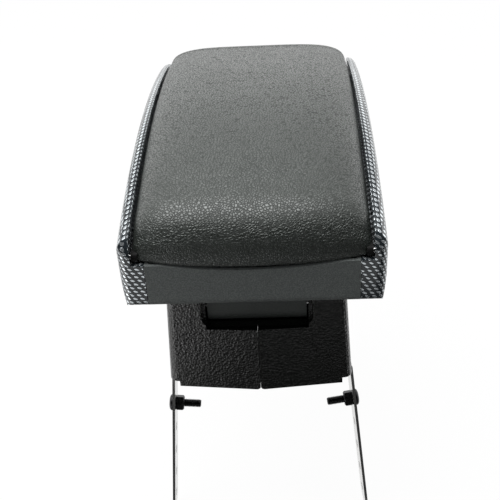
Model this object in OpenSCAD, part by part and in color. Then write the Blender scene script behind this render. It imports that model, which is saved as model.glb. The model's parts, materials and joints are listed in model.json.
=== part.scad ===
// Universal car centre armrest: a padded lid on a storage bin with printed side
// trims, tilting on a moulded pedestal that is clamped to the car by two steel straps.
// Millimetres. +Z up, +Y to the front of the car, +X to the right seen from behind.
// The origin is the centre of the steel base plate's underside.

/* [Armrest] */
// Overall width over the side trims
arm_w = 165; // [155:1:175]
// Rear end of the bin, measured back from the straps
rear_reach = 46.5; // [45:0.5:50]
// Front end of the side trims, measured forward from the straps
front_reach = 240; // [232:1:246]
// Height of the arch's crest on the trims
crest_z = 151; // [148:0.5:154]
// Place of the crest, forward of the straps
crest_y = 56; // [48:1:64]
// Radius of the long arch along the top of the trims
arch_r = 575; // [540:5:620]
// Start of the nose, forward of the crest
nose_from = 160; // [150:1:166]
// Radius of the nose that drops to the front
nose_r = 240; // [200:5:280]
// Underside of the bin over the pedestal
floor_z = 92.5; // [92:0.1:94]
// Underside of the deep front part of the bin
belly_z = 72; // [68:1:78]
// Rear end of the deep front part, forward of the straps
belly_rear = 112; // [106:1:118]
// Wall of the bin
bin_wall = 2.5; // [2:0.1:3]
// Width of a side trim beside the bin
trim_w = 16.5; // [15:0.5:18]

/* [Side trims] */
// Width of the rounded rim beside the pad
rim_w = 8.5; // [7:0.5:10]
// Depth of the ledge below the top of the rim
ledge_drop = 14; // [12:0.5:15]
// Depth over which the outer edge rounds off
trim_round = 11; // [7:0.5:13]
// How far the side draws in towards its lower edge
trim_tuck = 2.4; // [0:0.2:3]
// Wall of the trim
trim_wall = 2.6; // [2:0.1:3.2]

/* [Lid] */
// Gap between the pad and the rims
pad_gap = 0.7; // [0.5:0.1:1.5]
// Rise of the pad's middle above the rims
pad_crown = 13.5; // [10:0.5:15]
// Thickness of the tray under the pad
tray_t = 3.5; // [3:0.5:4]
// Radius of the lid's hinge pins
lid_pin_r = 1.75; // [1.5:0.05:2]
// Radius of the lid's hinge ears
lid_ear_r = 3.6; // [3.4:0.1:3.8]

/* [Tilt hinge] */
// Radius of the tilt shaft
shaft_r = 5; // [4:0.5:6]
// Length of the tilt shaft past each hinge plate
shaft_free = 4; // [3.5:0.5:6]
// Height of the tilt axis above the base
tilt_z = 64; // [62:0.5:65]
// Place of the tilt axis, forward of the straps
tilt_y = -8; // [-9:0.5:-7]
// Radius of the neck round the tilt axis
neck_r = 12; // [11:0.5:12.5]
// Width of the neck
neck_w = 66; // [60:1:67]
// Wall of the neck cover
neck_wall = 2.5; // [2:0.1:3]
// Sheet thickness of the tilt ears
ear_t = 2.5; // [2:0.1:3]

/* [Pedestal] */
// Width of the pedestal's base on each side of the neck
side_w = 31; // [29:0.5:34]
// Share of the base's width left at the top
top_share = 0.92; // [0.88:0.01:0.96]
// Rear face at the seam, behind the straps
ped_rear = 30; // [29.5:0.5:31]
// Front face at the base, forward of the straps
ped_front = 40; // [38:1:46]
// Wall of the pedestal
ped_wall = 2.5; // [2:0.1:3]
// Room beside the neck in the window
window_room = 4.2; // [3:0.1:5]
// Height of the window's sill at the rear face
sill_z = 56.5; // [55:0.5:57]

/* [Steel base and straps] */
// Thickness of the base plate
plate_t = 3; // [2.5:0.5:4]
// Sheet thickness of the hinge plates
upright_t = 3; // [2.5:0.5:4]
// Thickness of the straps
strap_t = 2; // [1.5:0.1:2.5]
// Width of the straps
strap_w = 25; // [22:1:28]
// Length of a strap below its bend
strap_len = 172; // [165:1:190]
// Outward lean of the straps in degrees
strap_lean = 5.5; // [0:0.5:7]
// Turn of the right strap about its flange bolt, in degrees
right_turn = 6; // [0:1:7]
// Inset of the straps from the pedestal's sides at the bend
strap_inset = 0.5; // [0.5:0.5:3]
// Distance of the clamp bolt below the bend
bolt_drop = 45.4; // [40:0.2:52]
// Distance between the holes of a strap
hole_pitch = 26.2; // [24:0.2:28]
// Radius of the holes of a strap
hole_r = 3.3; // [3.2:0.1:3.6]
// Outside radius of the clamp bolt's thread
bolt_r = 3; // [2.5:0.5:3]
// Free length of the clamp bolt past its nut
bolt_free = 12.6; // [10:0.2:16]

/* [Hidden] */
$fn = 48;

half_w = arm_w / 2;
base_w = neck_w + 2 * side_w;
strap_span = base_w - 2 * strap_inset;
slot_half = neck_w / 2 + 1.2;
upright_x = slot_half + ped_wall + 3.3;
shaft_len = 2 * (upright_x + upright_t + shaft_free);
window_w = neck_w + 2 * window_room;
bin_half = half_w - trim_w;
rim_in = half_w - rim_w;
rear_y = -rear_reach;
trim_front = front_reach;
bin_front = front_reach - 6;
arch_c = [crest_y, crest_z - arch_r];
nose_y = crest_y + nose_from;
nose_a = acos((nose_y - crest_y) / arch_r);
nose_c = arch_c + (arch_r - nose_r) * [cos(nose_a), sin(nose_a)];
tilt = [tilt_y, tilt_z];
// Everything that fits together keeps this much air
air = 0.3;
seam = 0.1;
screw_r = 1.5;
// Lid hinge, just inside the rear wall
pad_rear = rear_y + 1.5;
lid_nose_r = 3.6;
lid_y = pad_rear + lid_nose_r;
lid_z = round(10 * ledge_z(lid_y) + 8) / 10;
trough_r = lid_nose_r + 0.6;
pad_half = rim_in - pad_gap;
pad_front = trim_front + 4;
tray_half = pad_half - 5;
tray_rear = lid_y + 5;
tray_front = trim_front - 4;
seat_gap = 0.8;
// Latch at the front of the lid
latch_y = bin_front + 5.5;
latch_drop = 8;
latch_half = 22;
latch_lug = 4;
latch_pin_r = 1.5;
keeper_out = 3;

// Height of the trims' top line at a place along the armrest
function top_z(y) = y < nose_y
    ? arch_c[1] + sqrt(arch_r * arch_r - pow(y - arch_c[0], 2))
    : nose_c[1] + sqrt(nose_r * nose_r - pow(y - nose_c[0], 2));
function ledge_z(y) = top_z(y) - ledge_drop;
latch_z = ledge_z(tray_front) - latch_drop;

function unit(v) = v / norm(v);
// Inward normal of the edge from a to b, for outlines that run clockwise
function inward(a, b) = let(d = unit(b - a)) [d[1], -d[0]];
function flat2(v) = [v[0], v[1]];

// Outline through [y, z, radius] corners, moved in by inset, with round corners
function outline(corners, inset = 0, steps = 5) = let(n = len(corners)) [
    for (i = [0 : n - 1])
        let(
            before = flat2(corners[(i + n - 1) % n]),
            here = flat2(corners[i]),
            after = flat2(corners[(i + 1) % n]),
            n1 = inward(before, here),
            n2 = inward(here, after),
            spread = (n1 + n2) / (1 + n1 * n2),
            turn = n1[0] * n2[1] - n1[1] * n2[0],
            convex = turn < 0,
            radius = corners[i][2] == 0 ? 0 : corners[i][2] + (convex ? -inset : inset),
            corner = here + inset * spread,
            centre = corner + (convex ? 1 : -1) * radius * spread,
            side = convex ? -1 : 1,
            a1 = atan2(side * n1[1], side * n1[0]),
            raw = atan2(side * n2[1], side * n2[0]) - a1,
            sweep = raw > 180 ? raw - 360 : raw < -180 ? raw + 360 : raw
        )
        for (k = [0 : radius == 0 ? 0 : steps])
            radius == 0
                ? corner
                : centre + radius * [cos(a1 + sweep * k / steps), sin(a1 + sweep * k / steps)]
];

// Extrudes a side view, drawn as [y, z], from one x to another
module across(x0, x1) {
    translate([x0, 0, 0]) rotate([90, 0, 90]) linear_extrude(x1 - x0) children();
}

// A rod along X through a point of the side view
module rod(at, r, x0, x1) {
    translate([x0, at[0], at[1]]) rotate([0, 90, 0]) cylinder(r = r, h = x1 - x0);
}

// Solid through rings of points that all have the same count
module loft(rings) {
    n = len(rings[0]);
    last = len(rings) - 1;
    polyhedron(
        points = [for (ring = rings) for (p = ring) p],
        faces = concat(
            [[for (i = [0 : n - 1]) i]],
            [[for (i = [n - 1 : -1 : 0]) last * n + i]],
            [for (k = [0 : last - 1], i = [0 : n - 1])
                [k * n + i, (k + 1) * n + i, (k + 1) * n + (i + 1) % n]],
            [for (k = [0 : last - 1], i = [0 : n - 1])
                [k * n + i, (k + 1) * n + (i + 1) % n, k * n + (i + 1) % n]]
        )
    );
}

module mirrored() {
    children();
    mirror([1, 0, 0]) children();
}

// Side view of the armrest, clockwise from the rear bottom corner
belly_front = front_reach - 45;
rear_round = 15;
belly_corners = [
    [trim_front, belly_z + 14, 12], [belly_front, belly_z, 40],
    [belly_rear, belly_z, 40], [belly_rear - 42, floor_z, 30]
];
arm_corners = concat(
    [[rear_y, floor_z, 5], [rear_y, top_z(rear_y), rear_round]],
    [for (y = [rear_y + 26.5 : 15 : trim_front - 12]) [y, top_z(y), 0]],
    [[trim_front, top_z(trim_front), 9]],
    belly_corners
);
// The same without the arch, which the trims take from a sweep
trim_side = concat(
    [[rear_y, floor_z, 5], [rear_y, top_z(rear_y) + 0.2, rear_round]],
    [[rear_y + 40, top_z(rear_y + 40) + 8, 0]],
    [[trim_front - 40, top_z(trim_front - 40) + 12, 0], [trim_front, top_z(trim_front) + 0.2, 9]],
    belly_corners
);

// The bin's side view is the armrest's, cut off below the ledge and at its front
module above_ledge(lift = 0) {
    polygon(concat(
        [for (y = [rear_y - 10 : 10 : trim_front + 12]) [y, ledge_z(y) + lift]],
        [[trim_front + 12, 200], [rear_y - 10, 200]]
    ));
}

// Room for the lid's nose, and for the pad behind the hinge when the lid stands open
module lid_trough(x0, x1) {
    rod([lid_y, lid_z], trough_r, x0, x1);
    across(x0, x1) translate([rear_y - 10, lid_z - trough_r + air])
        square([lid_y - rear_y + 10, 60]);
}

// Places of the screws that hold a trim, as [y, z]
trim_screw_at = [
    [rear_y + 16.5, floor_z + 16], [belly_rear - 52, floor_z + 22],
    [belly_rear + 28, belly_z + 18], [trim_front - 25, belly_z + 22]
];
ear_screw_at = [[tilt_y - 6, neck_w / 2 - 15], [tilt_y + 6, neck_w / 2 - 15]];
lid_screw_x = bin_half - 14;
lid_screw_at = [
    [lid_y + 21, lid_screw_x], [(lid_y + tray_front) / 2, lid_screw_x], [tray_front - 16, lid_screw_x]
];
boss_drop = 1.5;
lip_dip = 4.8;

module bin() {
    lip_side = lid_z - trough_r + air;
    lip_mid = lip_side - lip_dip;
    lip_half = bin_half - 9;
    color("dimgray") difference() {
        union() {
            difference() {
                across(-bin_half, bin_half) difference() {
                    polygon(outline(arm_corners));
                    above_ledge();
                    translate([bin_front, 0]) square([50, 300]);
                }
                across(-bin_half + bin_wall, bin_half - bin_wall) difference() {
                    polygon(outline(arm_corners, bin_wall));
                    translate([bin_front - bin_wall, 0]) square([50, 300]);
                }
                // The storage space opens through the top
                across(-bin_half + bin_wall, bin_half - bin_wall)
                    translate([rear_y + bin_wall, floor_z + 12])
                    square([bin_front - rear_y - 2 * bin_wall, 70]);
            }
            // Keeper for the latch on the front wall
            across(-15, 15) polygon([
                [bin_front - 0.5, latch_z - 8], [bin_front + keeper_out, latch_z - 8],
                [bin_front + keeper_out, latch_z - 6], [bin_front - 0.5, latch_z - 3.5]
            ]);
            // Screw bosses for the tilt ears
            mirrored() for (s = ear_screw_at)
                translate([s[1], s[0], floor_z + 0.5]) cylinder(r = 5, h = bin_wall + 1.5);
            // Stiffening ribs across the deep floor
            for (y = [belly_rear + 18, belly_rear + 45, belly_rear + 72])
                across(-bin_half + 1, bin_half - 1)
                    translate([y, belly_z + 1]) square([1.6, bin_wall + 0.5]);
        }
        // The rear wall's lip dips in the middle and clears the lid's nose
        translate([0, rear_y + bin_wall + 1, 0]) rotate([90, 0, 0]) linear_extrude(bin_wall + 2)
            polygon(concat([[lip_half, lip_side + 5], [-lip_half, lip_side + 5]], [
                for (k = [-8 : 8]) [lip_half * k / 8, lip_side - (lip_side - lip_mid) * (1 - pow(k / 8, 2))]
            ]));
        lid_trough(-bin_half - 1, bin_half + 1);
        mirrored() for (s = ear_screw_at)
            translate([s[1], s[0], floor_z - 1]) cylinder(r = 2.7, h = 20);
        for (s = trim_screw_at) rod(s, screw_r + 0.3, -bin_half - 1, bin_half + 1);
    }
}

// Sweeps a profile, drawn as [height above the top line, x], along the arch and the
// nose. The second child is a thin key that ties the two sweeps where they meet.
sweep_end = 25;
module along_top() {
    rear_a = acos((rear_y - 20 - arch_c[0]) / arch_r);
    rotate([90, 0, 90]) {
        translate([arch_c[0], arch_c[1], 0]) rotate([0, 0, nose_a]) {
            rotate_extrude(angle = rear_a - nose_a, $fn = 720) translate([arch_r, 0]) children(0);
            rotate([90, 0, 0]) translate([arch_r, 0, -0.8]) linear_extrude(1.6) children(1);
        }
        translate([nose_c[0], nose_c[1], 0]) rotate([0, 0, sweep_end])
            rotate_extrude(angle = nose_a - sweep_end, $fn = 720) translate([nose_r, 0]) children(0);
    }
}

trim_depth = crest_z - belly_z + 7;
far = 150;
rim_round = 1.3;
// Groove along the seam between the trim and the rear panel
groove_w = 0.5;
// Cross-section of the right-hand trim
module trim_profile(inset = 0) {
    polygon(outline([
        [-trim_depth, bin_half, 0], [-trim_depth, half_w - trim_tuck - 0.6, 0],
        [-48, half_w - trim_tuck, 0], [-38, half_w - 0.4 * trim_tuck, 0],
        [-28, half_w, 0], [-trim_round, half_w, 0], [-0.55 * trim_round, half_w - 0.6, 0],
        [-0.24 * trim_round, half_w - 2, 0], [-0.06 * trim_round, half_w - 4, 0],
        [0, half_w - 6.2, 0], [0, rim_in, rim_round],
        [-ledge_drop, rim_in, 0], [-ledge_drop, bin_half, 0]
    ], inset));
}

// Right-hand trim: a shell with a rim, a ledge and screw bosses
module trim() {
    frame_w = trim_wall + 1.6;
    hollow_x = half_w - trim_wall - trim_tuck;
    color("darkslategray") difference() {
        union() {
            difference() {
                along_top() {
                    trim_profile();
                    trim_profile(0.06);
                }
                // Hollow behind the outer wall, open to the bin
                across(bin_half - 1, hollow_x) difference() {
                    polygon(outline(arm_corners, frame_w));
                    above_ledge(-trim_wall);
                }
            }
            intersection() {
                for (s = trim_screw_at) rod(s, 4, bin_half, hollow_x + 0.5);
                across(bin_half - 2, half_w + 2) polygon(outline(trim_side, 1));
            }
        }
        // Everything outside the side view and the rounded plan
        across(bin_half - 2, half_w + 2) difference() {
            translate([rear_y - far, -far]) square([trim_front - rear_y + 2 * far, 4 * far]);
            polygon(outline(trim_side));
        }
        translate([0, 0, -far]) linear_extrude(4 * far) difference() {
            translate([bin_half - 2, rear_y - far])
                square([half_w - bin_half + 4, trim_front - rear_y + 2 * far]);
            polygon(outline([
                [-1, rear_y - 1, 0], [-1, trim_front + 1, 0], [half_w, trim_front + 1, 16],
                [half_w, rear_y, 7], [bin_half + groove_w, rear_y, 0],
                [bin_half + groove_w, rear_y + 1.3, 0],
                [bin_half - 3, rear_y + 1.3, 0], [bin_half - 3, rear_y + 0.3, 0]
            ]));
        }
        lid_trough(bin_half - 1, rim_in + 0.2);
        rod([lid_y, lid_z], lid_pin_r, rim_in - 1, rim_in + 6.2);
        for (s = trim_screw_at) rod(s, screw_r, bin_half - 1, bin_half + 12.2);
    }
}

module pan_head(r, h) {
    rotate_extrude() polygon(concat([[0, 0]], [
        for (a = [0 : 15 : 90]) [r * cos(a), h * 0.3 + h * 0.7 * sin(a)]
    ]));
}

// A cross-head screw with its head's seat at the origin and its shank along -Z
module screw(r, len, head_r = 3) {
    union() {
        difference() {
            union() {
                cylinder(r = head_r, h = 0.6);
                translate([0, 0, 0.6]) pan_head(head_r, 1.6);
            }
            for (a = [0, 90]) rotate([0, 0, a])
                translate([-head_r * 0.6, -0.4, 1.3]) cube([head_r * 1.2, 0.8, 3]);
        }
        translate([0, 0, -len]) cylinder(r = r, h = len + 0.3);
    }
}

module trim_screws() {
    color("dimgray") mirrored() for (s = trim_screw_at)
        translate([bin_half - bin_wall, s[0], s[1]]) rotate([0, -90, 0]) screw(screw_r, 14);
}

// Side view of the neck: a round end on the tilt axis below a straight block
module neck_side(inset = 0) {
    r = neck_r - inset;
    translate(tilt) circle(r = r);
    translate([tilt_y - r, tilt_z]) square([2 * r, floor_z - tilt_z]);
}

module neck_cover() {
    color("dimgray") difference() {
        across(-neck_w / 2, neck_w / 2) neck_side();
        across(-neck_w / 2 + neck_wall, neck_w / 2 - neck_wall) neck_side(neck_wall);
        rod(tilt, shaft_r + air, -neck_w, neck_w);
    }
}

// Right-hand steel ear that hangs the bin on the tilt shaft
ear_x = neck_w / 2 - neck_wall - air;
module tilt_ear() {
    ear_r = neck_r - neck_wall - 1;
    color("silver") difference() {
        union() {
            across(ear_x - ear_t, ear_x) {
                translate(tilt) circle(r = ear_r);
                translate([tilt_y - ear_r, tilt_z]) square([2 * ear_r, floor_z - tilt_z]);
            }
            translate([10, tilt_y - ear_r, floor_z - ear_t])
                cube([ear_x - 10, 2 * ear_r, ear_t]);
        }
        rod(tilt, shaft_r + 0.05, 0, neck_w);
        for (s = ear_screw_at)
            translate([s[1], s[0], floor_z - ear_t - 1]) cylinder(r = 2.2, h = ear_t + 2);
    }
}

module tilt_ear_screws() {
    seat = floor_z + bin_wall + 2;
    color("dimgray") mirrored() for (s = ear_screw_at)
        translate([s[1], s[0], seat]) screw(2.2, seat - floor_z + ear_t + 3, 4.2);
}

module lid_hinge_pins() {
    color("silver") mirrored() rod([lid_y, lid_z], lid_pin_r, rim_in - 4.6, rim_in + 6);
}

// Upper and lower lines of the tray that carries the pad
function tray_line(lift, y0, y1) =
    [for (k = [0 : 24]) let(y = y0 + (y1 - y0) * k / 24) [y, ledge_z(y) + lift]];
function reversed(list) = [for (i = [len(list) - 1 : -1 : 0]) list[i]];

module tray_band(low, high, y0, y1) {
    polygon(concat(tray_line(low, y0, y1), reversed(tray_line(high, y0, y1))));
}

module lid_tray() {
    ear_in = rim_in - 4.4;
    ear_out = rim_in - 0.5;
    ear_front = tray_rear + 12;
    color("black") difference() {
        union() {
            across(-tray_half, tray_half)
                tray_band(seat_gap, seat_gap + tray_t, tray_rear, tray_front);
            // Rim that drops inside the bin
            difference() {
                across(-bin_half + bin_wall + 1, bin_half - bin_wall - 1)
                    tray_band(-4, seat_gap + 1, tray_rear + 4, bin_front - bin_wall - 1);
                across(-bin_half + bin_wall + 3, bin_half - bin_wall - 3)
                    tray_band(-6, seat_gap, tray_rear + 6, bin_front - bin_wall - 3);
            }
            // Long ribs under the tray
            for (x = [-35, 0, 35]) across(x - 0.8, x + 0.8)
                tray_band(-3, seat_gap + 1, tray_rear + 5, bin_front - bin_wall - 2);
            // Hinge ears at the rear corners
            mirrored() across(ear_in, ear_out) {
                translate([lid_y, lid_z]) circle(r = lid_ear_r);
                polygon([
                    [lid_y, lid_z], [tray_rear - 0.2, ledge_z(tray_rear) + seat_gap],
                    [ear_front, ledge_z(ear_front) + seat_gap],
                    [ear_front, ledge_z(ear_front) + seat_gap + 3], [lid_y, lid_z + lid_ear_r]
                ]);
            }
            mirrored() across(tray_half - 2, ear_out)
                tray_band(seat_gap, seat_gap + 2.6, tray_rear + 4, tray_rear + 16);
            // Lugs that hold the latch pin
            mirrored() across(latch_half + air, latch_half + air + latch_lug) {
                translate([latch_y, latch_z]) circle(r = 3.4);
                polygon([
                    [latch_y - 3.4, latch_z], [latch_y + 3.4, latch_z], [latch_y, latch_z + 4.5],
                    [tray_front - 1.2, ledge_z(tray_front) + seat_gap + 1],
                    [tray_front - 6, ledge_z(tray_front - 6) + seat_gap + 1],
                    [bin_front + 0.8, ledge_z(bin_front)]
                ]);
            }
            // Flat bosses for the pad's screws
            for (s = lid_screw_at, x = [-s[1], s[1]])
                translate([x, s[0], ledge_z(s[0]) - boss_drop]) cylinder(r = 4.5, h = boss_drop + 2);
        }
        mirrored() rod([lid_y, lid_z], lid_pin_r + 0.06, ear_in - 1, ear_out + 1);
        rod([latch_y, latch_z], latch_pin_r + 0.05, -latch_half - 6, latch_half + 6);
        for (s = lid_screw_at, x = [-s[1], s[1]])
            translate([x, s[0], ledge_z(s[0]) - 6]) cylinder(r = screw_r + 0.3, h = 16);
    }
}

// The pad is a row of rounded sections, closing down at both ends
pad_n = 3.4;
function sgn_pow(v, p) = (v < 0 ? -1 : 1) * pow(abs(v), p);
function pad_section(y, half, rise, count = 22) = concat(
    [for (k = [0 : count]) let(a = 180 - 180 * k / count) [
        half * sgn_pow(cos(a), 2 / pad_n), y,
        ledge_z(y) + seat_gap + rise * pow(abs(sin(a)), 2 / pad_n)
    ]]
);
pad_end_r = 18;
function pad_rise(y) = ledge_drop + pad_crown - seat_gap;
// Stations bunch up where the pad rounds over at its ends
pad_stations = concat(
    [for (a = [12, 25, 40, 55, 72, 90]) [
        pad_rear + pad_end_r * (1 - cos(a)), pow(1 - pow(cos(a), 2.3), 1 / 2.3)
    ]],
    [for (k = [1 : 15]) [
        pad_rear + pad_end_r + (pad_front - pad_rear - 2 * pad_end_r) * k / 16, 1
    ]],
    [for (a = [90, 72, 55, 40, 25, 12]) [
        pad_front - pad_end_r * (1 - cos(a)), pow(1 - pow(cos(a), 2.3), 1 / 2.3)
    ]]
);

module lid_pad() {
    corner = 5;
    rings = [for (s = pad_stations) pad_section(
        s[0], pad_half - corner * (1 - s[1]), pad_rise(s[0]) * s[1]
    )];
    color("#2b2b2b") difference() {
        union() {
            loft(rings);
            // Nose that rolls under at the hinge
            rod([lid_y, lid_z], lid_nose_r, -rim_in + 5, rim_in - 5);
            across(-rim_in + 5, rim_in - 5) polygon([
                [lid_y - lid_nose_r, lid_z], [lid_y, lid_z - lid_nose_r],
                [tray_rear - 0.5, ledge_z(tray_rear) + seat_gap],
                [tray_rear - 0.5, ledge_z(tray_rear) + 6], [lid_y - lid_nose_r, lid_z + 8]
            ]);
        }
        across(-tray_half - air, tray_half + air) tray_band(
            seat_gap - 3, seat_gap + tray_t + air, tray_rear - air, tray_front + air
        );
        // Room for the hinge ears at the rear corners
        mirrored() across(rim_in - 4.7, rim_in + 1)
            tray_band(-2, seat_gap + 4, pad_rear - 2, tray_rear + 17);
        mirrored() rod([lid_y, lid_z], lid_ear_r + air, rim_in - 4.7, rim_in + 1);
        mirrored() across(tray_half - 3, rim_in)
            tray_band(-2, seat_gap + 3, tray_rear, tray_rear + 17);
        for (s = lid_screw_at, x = [-s[1], s[1]])
            translate([x, s[0], ledge_z(s[0])]) cylinder(r = screw_r, h = 13);
    }
}

module lid_screws() {
    color("dimgray") for (s = lid_screw_at, x = [-s[1], s[1]])
        translate([x, s[0], ledge_z(s[0]) - boss_drop]) rotate([180, 0, 0]) screw(screw_r, 13);
}

module latch_pin() {
    reach = latch_half + air + latch_lug;
    color("silver") rod([latch_y, latch_z], latch_pin_r, -reach, reach);
}

// The paddle hangs in front of the bin, with a hook below the keeper
module latch_lever() {
    color("black") difference() {
        union() {
            rod([latch_y, latch_z], 3.1, -latch_half, latch_half);
            across(-latch_half, latch_half) polygon(outline([
                [latch_y - 0.6, latch_z - 15, 1], [latch_y - 0.6, latch_z, 0.5],
                [latch_y + 3.1, latch_z, 0.5], [latch_y + 3.1, latch_z - 9, 4],
                [latch_y + 4.4, latch_z - 15, 0.8]
            ]));
            across(-13, 13) polygon([
                [latch_y, latch_z - 8.6], [bin_front + keeper_out + air, latch_z - 8.6],
                [bin_front + keeper_out + air, latch_z - 9.6], [latch_y, latch_z - 12.5]
            ]);
        }
        rod([latch_y, latch_z], latch_pin_r + 0.06, -latch_half - 1, latch_half + 1);
        // Room for the spring in the middle of the barrel
        across(-5.2, 5.2) translate([latch_y - 4, latch_z - 3.4]) square([6.6, 8]);
    }
}

// Coil of the return spring, wound round the pin
module latch_spring() {
    turns = 7;
    wire = 0.6;
    color("silver") for (k = [0 : turns - 1])
        translate([(k - (turns - 1) / 2) * 1.35, latch_y, latch_z]) rotate([0, 90, 0])
            rotate_extrude() translate([latch_pin_r + 0.05 + wire / 2, 0]) circle(d = wire, $fn = 14);
}

// Plan of the pedestal: the rear face is two flats that meet at the seam
rear_v = 6;
function plan_corners() = [
    [-base_w / 2, -ped_rear + rear_v, 5.5], [-base_w / 2, ped_front + 34, 10],
    [base_w / 2, ped_front + 34, 10], [base_w / 2, -ped_rear + rear_v, 5.5], [0, -ped_rear, 0]
];
// Side view of the pedestal, with its round shoulder about the tilt axis
shoulder_r = floor_z - tilt_z - 1.7;
ped_top = tilt_z + shoulder_r;
function side_corners() = concat(
    [[-60, -12, 0], [-60, tilt_z, 0]],
    [for (a = [180 : -10 : 90]) [tilt_y + shoulder_r * cos(a), tilt_z + shoulder_r * sin(a), 0]],
    [
        [ped_front + 28, ped_top, 9], [ped_front + 18, tilt_z - 6, 30],
        [ped_front + 1, 24, 40], [ped_front, -12, 0]
    ]
);

module ped_body(inset = 0, low = 0) {
    intersection() {
        translate([0, 0, low]) linear_extrude(
            height = 100 - low,
            slices = 1,
            scale = [(base_w / 2 * (1 - (1 - top_share) * 100 / 90) - inset)
                / (base_w / 2 * (1 - (1 - top_share) * low / 90) - inset), 1]
        ) polygon([for (p = outline(plan_corners(), inset, 4)) [
            p[0] * (1 - (1 - top_share) * low / 90), p[1]
        ]]);
        across(-80, 80) polygon(outline(side_corners(), inset));
    }
}

// The neck's pocket in side view, with the scooped sill at the rear
module pocket_side(grow = 0) {
    translate(tilt) circle(r = neck_r + 1.5 + grow);
    polygon([
        [-60, sill_z + 0.5 - grow], [-ped_rear, sill_z - grow],
        [tilt_y - neck_r - 1, sill_z - 4 - grow], [tilt_y, sill_z - grow],
        [tilt_y + neck_r + 1.5 + grow, tilt_z], [tilt_y + neck_r + 1.5 + grow, 120], [-60, 120]
    ]);
}

ped_screw_at = [[tilt_y + 34, tilt_z - 2], [ped_front + 14, tilt_z + 14], [ped_front - 12, 14]];
rim_z = 5.5;
ped_screw_x = base_w / 2 - 14;

// Right-hand half of the pedestal
module pedestal_half() {
    corner_r = 8;
    difference() {
        union() {
            difference() {
                ped_body(0, rim_z);
                ped_body(ped_wall, rim_z - 1);
            }
            // Lips at the rear and front stand on the console
            intersection() {
                difference() {
                    ped_body(0.8, 0);
                    ped_body(ped_wall + 0.3, -1);
                }
                translate([0, -60, 0]) cube([base_w / 2 - 7, 140, rim_z + 1]);
            }
            // Walls of the neck's pocket
            intersection() {
                ped_body(0.5, 2);
                across(0, slot_half + ped_wall) pocket_side(ped_wall);
            }
            // Screw bosses along X, and ribs that stiffen the side
            intersection() {
                ped_body(0.5, 2);
                union() {
                    for (s = ped_screw_at) rod(s, 4.5, 0, base_w / 2 + 6);
                    for (z = [tilt_z - 34, tilt_z - 18])
                        translate([upright_x + 6, -60, z]) cube([base_w / 2, 110, 1.6]);
                }
            }
        }
        across(-1, slot_half) pocket_side();
        // The window is wider than the pocket and has round lower corners
        translate([0, -60, 0]) rotate([90, 0, 0]) mirror([0, 0, 1]) linear_extrude(68 - ped_rear)
            polygon(outline([
                [-5, sill_z, 0], [-5, 130, 0], [window_w / 2, 130, 0], [window_w / 2, sill_z, corner_r]
            ]));
        // The seam's lower corner is rounded, which leaves a notch
        translate([0, -60, 0]) rotate([-90, 0, 0]) linear_extrude(140) difference() {
            translate([-1, -3]) square([4, 4]);
            translate([3, -3]) circle(r = 3);
        }
        rod(tilt, shaft_r + air, 0, 70);
        for (s = ped_screw_at) rod(s, 1.7, -1, ped_screw_x + 2);
        // Room for the hinge plate
        translate([upright_x - 2, tilt_y - 14.8, 0]) cube([11, 49.4, tilt_z + 16]);
        translate([-100, -100, -10]) cube([100 + seam, 300, 300]);
    }
}

module pedestal_right() {
    color("#1c1c1c") difference() {
        pedestal_half();
        // Countersunk from the right for the three screws
        for (s = ped_screw_at) rod(s, 3.6, ped_screw_x, base_w / 2 + 16);
    }
}

module pedestal_left() {
    color("#1c1c1c") mirror([1, 0, 0]) pedestal_half();
}

module pedestal_screws() {
    color("dimgray") for (s = ped_screw_at)
        translate([ped_screw_x, s[0], s[1]]) rotate([0, 90, 0]) screw(1.7, 2 * ped_screw_x - 8, 3.2);
}

// Rubber feet that the bin rests on
module rest_bumpers() {
    color("black") mirrored() translate([upright_x - 4, ped_front + 10, ped_top]) cylinder(r = 6, h = 1.4);
}

plate_half = strap_span / 2 - 4;
module base_plate() {
    color("silver") difference() {
        linear_extrude(plate_t) polygon(outline([
            [-plate_half, tilt_y - 14, 8], [-plate_half, tilt_y + 36, 8],
            [plate_half, tilt_y + 36, 8], [plate_half, tilt_y - 14, 8]
        ]));
        mirrored() {
            translate([flange_x, 0, -1]) cylinder(r = flange_bolt_r, h = plate_t + 2);
            for (y = foot_y) translate([foot_x, y, -1]) cylinder(r = 3, h = plate_t + 2);
        }
    }
}

// Places of the bolts that hold a hinge plate's foot
foot_y = [tilt_y - 4, tilt_y + 26];
foot_x = upright_x - 6;
// Right-hand steel upright that carries the end of the shaft
module hinge_plate() {
    color("silver") difference() {
        union() {
            across(upright_x, upright_x + upright_t) polygon(outline([
                [tilt_y - 14, plate_t, 0], [tilt_y - 11, tilt_z + 11, 9],
                [tilt_y + 11, tilt_z + 11, 9], [tilt_y + 34, plate_t, 0]
            ]));
            translate([foot_x - 8, tilt_y - 14, plate_t]) cube([15, 48, upright_t]);
        }
        rod(tilt, shaft_r + 0.05, 0, 80);
        for (y = foot_y) translate([foot_x, y, 0]) cylinder(r = 3.3, h = 20);
    }
}

// A hexagon bolt with the seat of its head at the origin and its shank along -Z
module hex_bolt(r, across_flats, head, len) {
    union() {
        intersection() {
            cylinder(r = across_flats / sqrt(3), h = head, $fn = 6);
            rotate_extrude() polygon([
                [0, 0], [across_flats, 0], [across_flats, head * 0.55],
                [across_flats * 0.47, head], [0, head]
            ]);
        }
        translate([0, 0, -len]) cylinder(r = r, h = len + 0.1);
    }
}

module hinge_plate_bolts() {
    color("dimgray") mirrored() for (y = foot_y)
        translate([foot_x, y, plate_t + upright_t]) hex_bolt(3, 9, 3.6, plate_t + upright_t - 0.1);
}

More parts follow.
